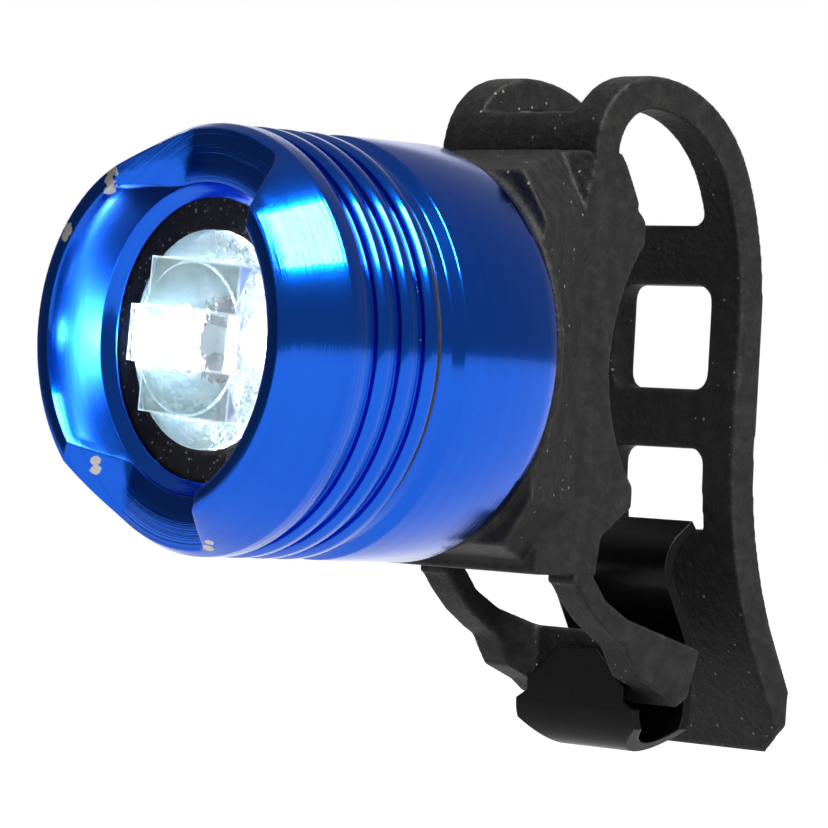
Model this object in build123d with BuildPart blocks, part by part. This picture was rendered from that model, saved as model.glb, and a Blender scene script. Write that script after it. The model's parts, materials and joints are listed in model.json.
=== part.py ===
from build123d import *
import os
from math import cos, radians, sin

# Strap-on bicycle headlight: a turned aluminium head on a silicone boot with a ladder strap.
# The origin is the axis of the handlebar, which lies in the boot's saddle and runs along X.
# The lamp points along -Y and +Z is up. The lamp's own axis is the Y axis. Lengths are in mm.

os.makedirs("parts", exist_ok=True)

# One overrun for every cut, and the fits between pieces
overrun = 1.0
slip = 0.1
running = 0.05
bend_gap = 0.3

# Coin cells, which everything round them is sized from
cell_r = 10.0
cell_length = 3.2
cell_cap_drop = 1.2
cell_cap_length = 0.3

# Walls outward from the cells to the outside of the head
sleeve_fit = 0.12
sleeve_wall = 0.78
neck_wall = 1.1
bezel_wall = 1.8

# Head bezel, outside
rim_drop = 2.1
rim_width = 1.05
taper_length = 4.48
band_length = 1.18
groove_count = 3
groove_width = 1.59
groove_depth = 0.66
groove_bevel_length = 0.47
groove_bevel_drop = 0.26
rib_width = 0.44

# Rear barrel, outside
seam_width = 0.87
spigot_length = 0.94
shoulder_length = 0.66
barrel_length = 7.34
rear_chamfer_length = 1.25
rear_chamfer_drop = 0.4

# Crown notches
notch_tilt = 11.5
notch_mouth = 13.4
notch_floor = 8.8
notch_depth = 3.7
notch_corner_r = 1.0

# Dish, lip and bores inside the head
dish_depth = 3.9
dish_fall = 0.75
lip_reach = 0.9
lip_depth = 0.6
lip_land = 0.25
lip_catch = 0.7
thread_length = 5.67

# Lens, its diaphragm and the ring that keeps them in the head
diaphragm_show = 2.1
diaphragm_length = 0.8
lens_flange_reach = 1.6
lens_flange_length = 0.9
lens_stand = 0.5
lens_dome = 1.5
lens_dome_drop = 2.2
bar_end_gap = 2.25
bar_height = 3.7
bar_rise = 0.9
side_bar_end_gap = 2.7
side_bar_height = 2.6
side_bar_set_back = 1.0
side_bar_pitch = 3.75
bar_tilt = 3.7
press_travel = 0.5
retainer_length = 0.6
retainer_gap = 0.3

# Circuit board, its carrier and what is on it
carrier_wall = 1.3
carrier_length = 3.4
carrier_shelf = 0.8
carrier_shelf_length = 0.7
board_length = 1.0
led_size = 3.0
led_base_length = 0.5
led_dome_length = 0.6
led_dome_half = 0.9
led_pitch = 8.8
switch_size = 4.4
switch_length = 0.9
switch_wall = 0.25
plunger_r = 0.9
chip_length = 3.2
chip_width = 2.4
chip_height = 0.8
chip_rise = 6.0
resistor_length = 1.6
resistor_width = 0.8
resistor_height = 0.5
resistor_count = 3
resistor_pitch = 2.2

# Contacts at both ends of the cells
contact_sheet = 0.25
contact_height = 1.6
contact_half_width = 2.5
contact_base_length = 10.0
contact_arm_length = 1.8
front_contact_height = 2.8
front_contact_width = 3.0
front_contact_r = 1.0

# Barrel floor, screw and the anchor plate moulded into the boot
barrel_floor = 2.15
screw_r = 1.45
screw_head_r = 2.8
screw_head_length = 1.0
screw_socket_r = 1.2
screw_socket_depth = 0.6
screw_hole_r = 1.6
anchor_half = 5.0
anchor_corner = 1.5
anchor_length = 1.2
anchor_depth = 3.0
screw_end = 0.6

# Boot: the saddle for the handlebar and the block that carries the barrel
saddle_r = 13.5
boot_depth = 10.95
saddle_half_width = 7.65
saddle_horn = 9.6
saddle_side = 8.4
horn_reach = 2.8
collar_drop = 0.4
collar_length = 0.65
block_rise = 0.3
block_length = 7.2
front_roof_drop = 1.6
front_side_drop = 2.8
front_chamfer_width = 2.4
front_chamfer_height = 3.2
rear_chamfer_width = 2.85
rear_chamfer_height = 4.3
ridge_drop = 2.7
ridge_fall = 1.6
root_length = 3.0

# Arch and ladder strap
strap_sheet = 2.3
strap_half_width = 7.6
arch_front_r = 5.4
arch_ahead = 10.5
arch_root = 3.4
arch_back_r = 10.3
arch_back_angle = 68.0
leg_r = 25.9
leg_angle = 22.6
leg_length = 8.2
flare_r = 32.0
flare_angle = 27.7
tail_length = 7.0
tail_bevel = 3.9
tail_corner = 3.3
tail_corner_length = 3.9
hole_half_width = 4.6
hole_corner_r = 1.2
arch_hole_start = 2.7
arch_hole_end = 10.1
hole_height = 7.2
hole_pitch = 11.35
hole_top = 5.95

# Tongue
tongue_reach = 13.3
tongue_drop = 9.0
tongue_arm = 2.7
tongue_root = 2.8
tongue_bar = 3.5
tongue_gap = 0.25

# Hook
hook_sheet = 0.7
hook_half_width = 5.7
hook_neck_clearance = 0.25
hook_curl_r = 2.5
hook_rise = 0.55
hook_front_wall = 4.13
hook_back_wall = 4.0
hook_lean_angle = 28.8
hook_lean_r = 3.0
hook_lean_length = 3.78
hook_lip_r = 2.5
hook_lip_angle = 80.8
hook_lip_length = 1.7
hook_top_half = 1.9
hook_neck_drop = 2.4
hook_shoulder_drop = 3.9
neck_corner = 0.6
hook_corner = 2.3
hook_corner_drop = 1.7

# Radii that follow from the cells and the walls
sleeve_r = cell_r + sleeve_fit + sleeve_wall
bore_r = sleeve_r + slip
thread_r = bore_r + neck_wall
head_r = thread_r + slip + bezel_wall
carrier_r = bore_r - slip
rim_r = head_r - rim_drop
rim_inner_r = rim_r - rim_width
dish_floor_r = rim_inner_r - dish_fall
lip_r = dish_floor_r - lip_reach
diaphragm_bore_r = lip_r + lip_catch
lens_r = lip_r - diaphragm_show
lens_flange_r = lens_r + lens_flange_reach
retainer_r = lens_flange_r + retainer_gap

# The boot's block follows from the barrel
collar_r = head_r - collar_drop
block_roof = head_r + block_rise
block_front_roof = head_r - front_roof_drop
block_front_half = head_r - front_side_drop

# Places along the lamp's axis, from the saddle forward
rear_y = -(saddle_r + boot_depth)
shoulder_y = rear_y - rear_chamfer_length - barrel_length - shoulder_length
seam_y = shoulder_y - spigot_length
bezel_rear_y = seam_y - seam_width
groove_pitch = groove_width + rib_width
band_rear_y = bezel_rear_y - groove_count * groove_pitch
taper_rear_y = band_rear_y - band_length
front_y = taper_rear_y - taper_length
dish_y = front_y + dish_depth
lip_front_y = dish_y + lip_depth
lip_rear_y = lip_front_y + lip_land
bore_floor_y = rear_y - barrel_floor
neck_front_y = seam_y - thread_length
bezel_step_y = neck_front_y - slip
diaphragm_y = lip_rear_y + running
flange_y = diaphragm_y + diaphragm_length
lens_rear_y = flange_y + lens_flange_length
retainer_y = flange_y + press_travel + 2 * slip

# Places of the stack that stands on the barrel's floor
rear_cell_y = bore_floor_y - contact_height - cell_length
front_cell_y = rear_cell_y - cell_length
board_rear_y = front_cell_y - front_contact_height
board_front_y = board_rear_y - board_length
switch_y = board_front_y - switch_length
plunger_tip_y = lens_rear_y + running


def station(y):
    """The upright plane at y whose local axes are X and Z."""
    return Plane.XZ.offset(-y)


def ring(inner, outer, start, end):
    """The half section of a plain ring about the Y axis."""
    return [(inner, start), (outer, start), (outer, end), (inner, end)]


def walk(start, heading, moves):
    """The places and headings at the ends of a run of lines and arcs."""
    places = [(start, heading)]
    for length_or_radius, turn in moves:
        (x, y), angle = places[-1]
        if turn == 0:
            x += length_or_radius * cos(radians(angle))
            y += length_or_radius * sin(radians(angle))
        else:
            side = 1 if turn > 0 else -1
            x += side * length_or_radius * (sin(radians(angle + turn)) - sin(radians(angle)))
            y -= side * length_or_radius * (cos(radians(angle + turn)) - cos(radians(angle)))
            angle += turn
        places.append(((x, y), angle))
    return places


def strip_lines(start, heading, moves, sheet, bevel=0):
    """Draw the side view of a strip of even thickness that follows lines and arcs.

    The left side of its last line ends earlier by the bevel.
    """
    places = walk(start, heading, moves)
    end_angle = radians(places[-1][1])
    corners = []
    for side in (-0.5, 0.5):
        edge = []
        for (x, y), angle in places:
            edge.append((x - side * sheet * sin(radians(angle)), y + side * sheet * cos(radians(angle))))
        if side > 0:
            edge[-1] = (edge[-1][0] - bevel * cos(end_angle), edge[-1][1] - bevel * sin(end_angle))
        corners.append(edge)
        for (length_or_radius, turn), first, last, (_, angle) in zip(moves, edge, edge[1:], places):
            if turn == 0:
                Line(first, last)
            else:
                bend = length_or_radius - side * sheet * (1 if turn > 0 else -1)
                JernArc(first, (cos(radians(angle)), sin(radians(angle))), bend, turn)
    Line(corners[0][0], corners[1][0])
    Line(corners[0][-1], corners[1][-1])


# Head bezel: taper, band and grooves outside, dish and lip inside
bezel_outline = [(rim_inner_r, front_y), (rim_r, front_y), (head_r, taper_rear_y), (head_r, band_rear_y)]
for groove in range(groove_count):
    groove_y = band_rear_y + groove * groove_pitch
    floor_r = head_r - groove_depth
    bevel_y = groove_y + groove_width - groove_bevel_length
    bezel_outline.append((floor_r, groove_y))
    bezel_outline.append((floor_r, bevel_y))
    bezel_outline.append((head_r - groove_bevel_drop, bevel_y))
    bezel_outline.append((head_r, groove_y + groove_width))
    bezel_outline.append((head_r, groove_y + groove_pitch))
bezel_outline.append((thread_r + slip, bezel_rear_y))
bezel_outline.append((thread_r + slip, bezel_step_y))
bezel_outline.append((diaphragm_bore_r, bezel_step_y))
bezel_outline.append((diaphragm_bore_r, lip_rear_y))
bezel_outline.append((lip_r, lip_rear_y))
bezel_outline.append((lip_r, lip_front_y))
bezel_outline.append((dish_floor_r, dish_y))

notch_angle = radians(90 - notch_tilt)
notch_along = (cos(notch_angle), 0, sin(notch_angle))
notch_across = (sin(notch_angle), 0, -cos(notch_angle))
notch_plane = Plane(origin=(0, front_y, 0), x_dir=notch_across, z_dir=notch_along)
notch_slope = (notch_mouth - notch_floor) / 2 / notch_depth

with BuildPart() as head_bezel:
    with BuildSketch(Plane.XY):
        Polygon(*bezel_outline, align=None)
    revolve(axis=Axis.Y)
    with BuildSketch(notch_plane) as notch:
        with BuildLine():
            notch_top = notch_mouth / 2 + notch_slope * overrun
            Polyline(
                (-notch_top, -overrun),
                (-notch_floor / 2, notch_depth),
                (notch_floor / 2, notch_depth),
                (notch_top, -overrun),
                close=True,
            )
        make_face()
        fillet(notch.vertices().group_by(Axis.Y)[-1], radius=notch_corner_r)
    extrude(amount=head_r + overrun, both=True, mode=Mode.SUBTRACT)
head_bezel.part.label = "head_bezel"

# Rear barrel: neck, spigot, shoulder, skirt and closed floor
barrel_outline = [(screw_hole_r, rear_y), (head_r - rear_chamfer_drop, rear_y)]
barrel_outline.append((head_r, rear_y - rear_chamfer_length))
barrel_outline.append((head_r, shoulder_y + shoulder_length))
barrel_outline.append((head_r - groove_depth, shoulder_y))
barrel_outline.append((head_r - groove_depth, seam_y))
barrel_outline.append((thread_r, seam_y))
barrel_outline.append((thread_r, neck_front_y))
barrel_outline.append((bore_r, neck_front_y))
barrel_outline.append((bore_r, bore_floor_y))
barrel_outline.append((screw_hole_r, bore_floor_y))

with BuildPart() as rear_barrel:
    with BuildSketch(Plane.XY):
        Polygon(*barrel_outline, align=None)
    revolve(axis=Axis.Y)
rear_barrel.part.label = "rear_barrel"

# Seam seal between the two shells
with BuildPart() as seam_seal:
    with BuildSketch(Plane.XY):
        Polygon(*ring(thread_r + running, head_r - groove_depth, bezel_rear_y, seam_y), align=None)
    revolve(axis=Axis.Y)
seam_seal.part.label = "seam_seal"

# Lens: flange, coned dome and three block bars
dome_y = diaphragm_y - lens_stand
dome_top_y = dome_y - lens_dome
bar_y = dome_top_y - bar_rise
with BuildPart() as lens:
    with BuildSketch(Plane.XY):
        Polygon(
            (0, dome_top_y),
            (lens_r - lens_dome_drop, dome_top_y),
            (lens_r, dome_y),
            (lens_r, flange_y),
            (lens_flange_r, flange_y),
            (lens_flange_r, lens_rear_y),
            (0, lens_rear_y),
            align=None,
        )
    revolve(axis=Axis.Y)
    with BuildSketch(station(bar_y)):
        Rectangle(2 * (lens_r - bar_end_gap), bar_height, rotation=-bar_tilt)
    extrude(amount=-(dome_y - bar_y))
    side_bar_x = side_bar_pitch * sin(radians(bar_tilt))
    side_bar_z = side_bar_pitch * cos(radians(bar_tilt))
    with BuildSketch(station(bar_y + side_bar_set_back)):
        with Locations((side_bar_x, side_bar_z), (-side_bar_x, -side_bar_z)):
            Rectangle(2 * (lens_r - side_bar_end_gap), side_bar_height, rotation=-bar_tilt)
    extrude(amount=-(dome_y - bar_y - side_bar_set_back))
lens.part.label = "lens"

# Diaphragm round the lens, in front of the lens's flange
with BuildPart() as lens_diaphragm:
    with BuildSketch(Plane.XY):
        Polygon(*ring(lens_r + running, diaphragm_bore_r - slip, diaphragm_y, flange_y), align=None)
    revolve(axis=Axis.Y)
lens_diaphragm.part.label = "lens_diaphragm"

# Retaining ring that stops the pressed lens
with BuildPart() as lens_retainer:
    with BuildSketch(Plane.XY):
        Polygon(*ring(retainer_r, diaphragm_bore_r - running, retainer_y, retainer_y + retainer_length), align=None)
    revolve(axis=Axis.Y)
lens_retainer.part.label = "lens_retainer"

# Carrier: a plastic cup that slides in the barrel's neck and holds the board
carrier_front_y = board_rear_y + carrier_shelf_length - carrier_length
with BuildPart() as board_carrier:
    with BuildSketch(Plane.XY):
        Polygon(
            (carrier_r, carrier_front_y),
            (carrier_r, board_rear_y + carrier_shelf_length),
            (carrier_r - carrier_wall - carrier_shelf, board_rear_y + carrier_shelf_length),
            (carrier_r - carrier_wall - carrier_shelf, board_rear_y),
            (carrier_r - carrier_wall, board_rear_y),
            (carrier_r - carrier_wall, carrier_front_y),
            align=None,
        )
    revolve(axis=Axis.Y)
board_carrier.part.label = "board_carrier"

# Circuit board
with BuildPart() as led_board:
    with BuildSketch(station(board_front_y)):
        Circle(carrier_r - carrier_wall - running)
    extrude(amount=-board_length)
led_board.part.label = "led_board"


def make_led(x):
    """An LED: a square base with a tapered lens, in front of the board at x."""
    with BuildPart() as led:
        with BuildSketch(station(board_front_y)):
            with Locations((x, 0)):
                Rectangle(led_size, led_size)
        extrude(amount=led_base_length)
        with BuildSketch(station(board_front_y - led_base_length)):
            with Locations((x, 0)):
                Rectangle(led_size, led_size)
        with BuildSketch(station(board_front_y - led_base_length - led_dome_length)):
            with Locations((x, 0)):
                Rectangle(2 * led_dome_half, 2 * led_dome_half)
        loft(ruled=True)
    return led


led_left = make_led(-led_pitch / 2)
led_left.part.label = "led_left"
led_right = make_led(led_pitch / 2)
led_right.part.label = "led_right"

# Controller chip and resistors
with BuildPart() as controller_chip:
    with BuildSketch(station(board_front_y)):
        with Locations((0, chip_rise)):
            Rectangle(chip_length, chip_width)
    extrude(amount=chip_height)
controller_chip.part.label = "controller_chip"

with BuildPart() as resistors:
    with BuildSketch(station(board_front_y)):
        with Locations((0, -chip_rise)):
            with GridLocations(resistor_pitch, resistor_width, resistor_count, 1):
                Rectangle(resistor_width, resistor_length)
    extrude(amount=resistor_height)
resistors.part.label = "resistors"

# Tactile switch: a square case with a bore, and the plunger that travels in it
bore_depth = switch_length - switch_wall
with BuildPart() as switch_body:
    with BuildSketch(station(board_front_y)):
        Rectangle(switch_size, switch_size)
    extrude(amount=switch_length)
    with BuildSketch(station(switch_y)):
        Circle(plunger_r + running)
    extrude(amount=-bore_depth, mode=Mode.SUBTRACT)
switch_body.part.label = "switch_body"

with BuildPart() as switch_plunger:
    with BuildSketch(station(plunger_tip_y)):
        Circle(plunger_r)
    extrude(amount=-(switch_y + bore_depth - press_travel - running - plunger_tip_y))
switch_plunger.part.label = "switch_plunger"

# Front contact: a bent leaf from the board's rear face to the front cell
leaf_bend = front_contact_r - contact_sheet / 2
leaf_foot = front_contact_height - contact_sheet
leaf_span = leaf_foot - 2 * leaf_bend
with BuildPart() as front_contact:
    with BuildSketch(Plane.YZ):
        with BuildLine():
            strip_lines(
                (board_rear_y + contact_sheet / 2, -leaf_foot),
                90,
                [(leaf_foot, 0), (leaf_bend, -90), (leaf_span, 0), (leaf_bend, -90), (leaf_foot, 0)],
                contact_sheet,
            )
        make_face()
    extrude(amount=front_contact_width / 2, both=True)
front_contact.part.label = "front_contact"


def make_cell(front):
    """A coin cell: the can, and the smaller cap of its negative side towards the lens."""
    with BuildPart() as cell:
        with BuildSketch(station(front)):
            Circle(cell_r - cell_cap_drop)
        extrude(amount=-cell_cap_length)
        with BuildSketch(station(front + cell_cap_length)):
            Circle(cell_r)
        extrude(amount=-(cell_length - cell_cap_length))
    return cell


front_cell = make_cell(front_cell_y)
front_cell.part.label = "front_cell"
rear_cell = make_cell(rear_cell_y)
rear_cell.part.label = "rear_cell"

# Insulating sleeve round the cells
with BuildPart() as cell_sleeve:
    with BuildSketch(Plane.XY):
        Polygon(*ring(sleeve_r - sleeve_wall, sleeve_r, front_cell_y, bore_floor_y), align=None)
    revolve(axis=Axis.Y)
cell_sleeve.part.label = "cell_sleeve"

# Rear contact: a strip held under the screw's head, with both ends folded back to the rear cell
fold_r = (contact_height - contact_sheet) / 2
with BuildPart() as rear_contact:
    with BuildSketch(Plane.YZ):
        with BuildLine():
            fold_start = (rear_cell_y + cell_length + contact_sheet / 2, contact_base_length / 2 - contact_arm_length)
            arm = (contact_arm_length, 0)
            fold = (fold_r, -180)
            strip_lines(fold_start, 90, [arm, fold, (contact_base_length, 0), fold, arm], contact_sheet)
        make_face()
    extrude(amount=contact_half_width, both=True)
    with BuildSketch(station(bore_floor_y)):
        Circle(screw_r + running)
    extrude(amount=contact_sheet, mode=Mode.SUBTRACT)
rear_contact.part.label = "rear_contact"

# Screw through the barrel's floor into the anchor plate
screw_seat_y = bore_floor_y - contact_sheet
screw_top_y = screw_seat_y - screw_head_length
anchor_y = rear_y + anchor_depth
screw_tip_y = anchor_y + anchor_length + screw_end
with BuildPart() as boot_screw:
    with BuildSketch(station(screw_top_y)):
        Circle(screw_head_r)
        RegularPolygon(screw_socket_r, 6, mode=Mode.SUBTRACT)
    extrude(amount=-screw_socket_depth)
    with BuildSketch(station(screw_top_y + screw_socket_depth)):
        Circle(screw_head_r)
    extrude(amount=-(screw_head_length - screw_socket_depth))
    with BuildSketch(station(screw_seat_y)):
        Circle(screw_r)
    extrude(amount=-(screw_tip_y - screw_seat_y))
boot_screw.part.label = "boot_screw"

with BuildPart() as boot_anchor:
    with BuildSketch(station(anchor_y)) as plate:
        Rectangle(2 * anchor_half, 2 * anchor_half)
        chamfer(plate.vertices(), length=anchor_corner)
        Circle(screw_r + running, mode=Mode.SUBTRACT)
    extrude(amount=-anchor_length)
boot_anchor.part.label = "boot_anchor"


def octagon(roof, half_width, chamfer_width, chamfer_height):
    """The corners of an eight-sided front view of the boot."""
    return [
        (side_x * x, side_z * z)
        for side_x, side_z, corners in ((-1, 1, 1), (1, 1, -1), (1, -1, 1), (-1, -1, -1))
        for x, z in ((half_width, roof - chamfer_height), (half_width - chamfer_width, roof))[::corners]
    ]


def saddle_corners(roof, ridge):
    """The corners of a front view of the saddle, chamfered above and square below."""
    roof_half = saddle_half_width - rear_chamfer_width
    right = [(roof_half, roof), (saddle_half_width, ridge), (saddle_half_width, -block_roof)]
    return right + [(-x, z) for x, z in reversed(right)]


# Boot: collar, faceted block that narrows to the saddle, and the front half of the arch
block_front_y = rear_y + collar_length
block_y = block_front_y + block_length
saddle_y = rear_y + boot_depth
horn_y = saddle_y + horn_reach
arch_y = -arch_ahead
arch_bend = arch_front_r - strap_sheet / 2
arch_foot_z = block_roof
arch_top_z = arch_foot_z + arch_front_r
arch_leg_y = arch_y - arch_bend
root_z = -block_roof + rear_chamfer_height
with BuildPart() as boot:
    with BuildSketch(station(block_y)):
        Polygon(*saddle_corners(block_roof, block_roof - ridge_drop), align=None)
    with BuildSketch(station(horn_y)):
        Polygon(*saddle_corners(block_roof - ridge_fall, block_roof - ridge_drop - ridge_fall), align=None)
    loft(ruled=True)
    with BuildSketch(Plane.YZ):
        with BuildLine():
            Polyline(
                (block_y, arch_foot_z),
                (arch_leg_y + strap_sheet / 2, arch_foot_z),
                (horn_y, saddle_horn),
                (horn_y, -saddle_horn),
                (saddle_y, root_z - arch_root / 2),
                (saddle_y - bend_gap, -block_roof),
                (block_y, -block_roof),
                close=True,
            )
        make_face()
    extrude(amount=saddle_half_width, both=True, mode=Mode.INTERSECT)
    with BuildSketch(Plane.YZ):
        with Locations((block_y - root_length / 2, (root_z - block_roof) / 2)):
            Rectangle(root_length, root_z + block_roof)
    extrude(amount=saddle_half_width, both=True)
    with BuildSketch(station(block_front_y)):
        front_corners = octagon(block_front_roof, block_front_half, front_chamfer_width, front_chamfer_height)
        Polygon(*front_corners, align=None)
    with BuildSketch(station(block_y)):
        rear_corners = octagon(block_roof, saddle_half_width, rear_chamfer_width, rear_chamfer_height)
        Polygon(*rear_corners, align=None)
    loft(ruled=True)
    with BuildSketch(station(rear_y)):
        Circle(collar_r)
    extrude(amount=-collar_length)
    with BuildSketch(Plane.YZ):
        with BuildLine():
            arch_start = (arch_leg_y, arch_foot_z - arch_root)
            strip_lines(arch_start, 90, [(arch_root, 0), (arch_bend, -90)], strap_sheet)
        make_face()
    extrude(amount=strap_half_width, both=True)
    with BuildSketch(Plane.YZ):
        Circle(saddle_r)
    extrude(amount=block_front_half + overrun, both=True, mode=Mode.SUBTRACT)
    with BuildSketch(station(arch_y + overrun)):
        with Locations((0, arch_foot_z + arch_hole_start + arch_front_r)):
            RectangleRounded(2 * hole_half_width, 2 * arch_front_r, hole_corner_r)
    extrude(amount=arch_front_r + strap_sheet + overrun, mode=Mode.SUBTRACT)
    with BuildSketch(station(anchor_y)) as anchor_space:
        Rectangle(2 * anchor_half, 2 * anchor_half)
        chamfer(anchor_space.vertices(), length=anchor_corner)
    extrude(amount=-anchor_length, mode=Mode.SUBTRACT)
    with BuildSketch(station(rear_y)):
        Circle(screw_hole_r)
    extrude(amount=-(screw_tip_y - rear_y + slip), mode=Mode.SUBTRACT)
boot.part.label = "boot"

# Strap: back half of the arch, ladder leg and flared tail, one strip of even thickness
strap_moves = [
    (arch_back_r - strap_sheet / 2, -arch_back_angle),
    (leg_r - strap_sheet / 2, -leg_angle),
    (leg_length, 0),
    (flare_r, flare_angle),
    (tail_length, 0),
]
strap_start = (arch_y + bend_gap, arch_foot_z + arch_bend)
(tail_y, tail_z), tail_angle = walk(strap_start, 0, strap_moves)[-1]
tail_low_z = tail_z - strap_sheet
with BuildPart() as strap:
    with BuildSketch(Plane.YZ):
        with BuildLine():
            strip_lines(strap_start, 0, strap_moves, strap_sheet, tail_bevel)
        make_face()
    extrude(amount=strap_half_width, both=True)
    with BuildSketch(station(tail_y + strap_sheet + overrun)) as ladder:
        with BuildLine():
            Polyline(
                (-strap_half_width, arch_top_z + overrun),
                (strap_half_width, arch_top_z + overrun),
                (strap_half_width, tail_low_z + tail_corner_length),
                (strap_half_width - tail_corner, tail_low_z),
                (tail_corner - strap_half_width, tail_low_z),
                (-strap_half_width, tail_low_z + tail_corner_length),
                close=True,
            )
        make_face()
        for hole in range(2):
            with Locations((0, hole_top - hole_height / 2 - hole * hole_pitch)):
                RectangleRounded(2 * hole_half_width, hole_height, hole_corner_r, mode=Mode.SUBTRACT)
        with Locations((0, arch_hole_end + arch_top_z)):
            RectangleRounded(2 * hole_half_width, 2 * arch_top_z, hole_corner_r, mode=Mode.SUBTRACT)
    extrude(amount=tail_y + strap_sheet + 2 * overrun - arch_y, mode=Mode.INTERSECT)
strap.part.label = "strap"

# Tongue: two arms under the boot, joined by an end bar, in shares of its reach and drop
tongue_front_share = [(0.05, 0), (0.15, 0.18), (0.25, 0.32), (0.38, 0.45), (0.455, 0.51), (0.50, 0.62), (0.555, 0.74), (0.75, 0.855)]
tongue_back_share = [(0.845, 0.955), (0.925, 0.88), (1.0, 0.517), (0.459, 0.289), (0.293, 0.15), (0.21, 0)]
tongue_y = saddle_y - tongue_root - bend_gap
tongue_z = -block_roof - tongue_gap


def tongue_places(shares):
    """Places of the tongue's side view, from its shares of reach and drop."""
    return [(tongue_y + y * tongue_reach, tongue_z - z * tongue_drop) for y, z in shares]


slot_end_y = tongue_y + tongue_reach - tongue_bar
with BuildPart() as tongue:
    with BuildSketch(Plane.YZ):
        with BuildLine():
            Polyline(*tongue_places(tongue_front_share + tongue_back_share), close=True)
        make_face()
    extrude(amount=saddle_half_width, both=True)
    with BuildSketch(Plane.XY.offset(tongue_z + overrun)):
        with Locations((0, slot_end_y - tongue_reach / 2)):
            Rectangle(2 * (saddle_half_width - tongue_arm), tongue_reach)
    extrude(amount=-(tongue_drop + 2 * overrun), mode=Mode.SUBTRACT)
tongue.part.label = "tongue"

# Hook: one bent strip, curled under the tongue's end bar and up to the lip for the ladder
hook_wall_y = slot_end_y - hook_sheet / 2 - hook_neck_clearance
hook_top_z = tongue_z - tongue_drop * hook_rise
hook_moves = [
    (hook_front_wall, 0),
    (hook_curl_r, 180),
    (hook_back_wall, 0),
    (hook_lean_r, hook_lean_angle),
    (hook_lean_length, 0),
    (hook_lip_r, -hook_lip_angle),
    (hook_lip_length, 0),
]
hook_low_z = hook_top_z - hook_front_wall - hook_curl_r - hook_sheet / 2
neck_half = saddle_half_width - tongue_arm - hook_neck_clearance
with BuildPart() as strap_hook:
    with BuildSketch(Plane.YZ):
        with BuildLine():
            strip_lines((hook_wall_y, hook_top_z), -90, hook_moves, hook_sheet)
        make_face()
    extrude(amount=hook_half_width, both=True)
    with BuildSketch(station(hook_wall_y + hook_curl_r)):
        for side in (-1, 1):
            Polygon(
                (side * hook_top_half, hook_top_z + overrun),
                (side * hook_top_half, hook_top_z),
                (side * neck_half, hook_top_z - hook_neck_drop),
                (side * neck_half, hook_top_z - hook_shoulder_drop + neck_corner),
                (side * hook_half_width, hook_top_z - hook_shoulder_drop),
                (side * (hook_half_width + overrun), hook_top_z - hook_shoulder_drop),
                (side * (hook_half_width + overrun), hook_top_z + overrun),
                align=None,
            )
    extrude(amount=hook_curl_r + hook_sheet + overrun, mode=Mode.SUBTRACT)
    with BuildSketch(station(hook_wall_y + 2 * hook_curl_r + hook_sheet + overrun)):
        for side in (-1, 1):
            Polygon(
                (side * hook_half_width, hook_low_z + hook_corner_drop),
                (side * (hook_half_width + overrun), hook_low_z + hook_corner_drop),
                (side * (hook_half_width + overrun), hook_low_z - overrun),
                (side * (hook_half_width - hook_corner), hook_low_z - overrun),
                (side * (hook_half_width - hook_corner), hook_low_z),
                align=None,
            )
    extrude(amount=2 * hook_curl_r + 2 * hook_sheet + 2 * overrun, mode=Mode.SUBTRACT)
strap_hook.part.label = "strap_hook"

for name, piece in (
    ("head_bezel", head_bezel),
    ("rear_barrel", rear_barrel),
    ("seam_seal", seam_seal),
    ("lens", lens),
    ("lens_diaphragm", lens_diaphragm),
    ("lens_retainer", lens_retainer),
    ("board_carrier", board_carrier),
    ("led_board", led_board),
    ("led_left", led_left),
    ("led_right", led_right),
    ("controller_chip", controller_chip),
    ("resistors", resistors),
    ("switch_body", switch_body),
    ("switch_plunger", switch_plunger),
    ("front_contact", front_contact),
    ("front_cell", front_cell),
    ("rear_cell", rear_cell),
    ("cell_sleeve", cell_sleeve),
    ("rear_contact", rear_contact),
    ("boot_screw", boot_screw),
    ("boot_anchor", boot_anchor),
    ("boot", boot),
    ("strap", strap),
    ("tongue", tongue),
    ("strap_hook", strap_hook),
):
    export_step(piece.part, f"parts/{name}.step")
    box = piece.part.bounding_box()
    print(f"{name}: {box.size.X:.2f} x {box.size.Y:.2f} x {box.size.Z:.2f} mm")
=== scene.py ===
# %% [markdown]
# # A strap-on bicycle headlight
# The lamp is a turned aluminium head on a silicone boot. The boot has a saddle for the
# handlebar, a ladder strap that goes round the bar, and a tongue with a small plastic hook.
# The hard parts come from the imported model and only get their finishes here. The soft
# parts are made again from the same solids, with the rounded edges that moulding gives.

# %% Load the frame
import json
from math import cos, pi, radians, sin

import bmesh
import bpy
from mathutils import Matrix, Vector


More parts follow.
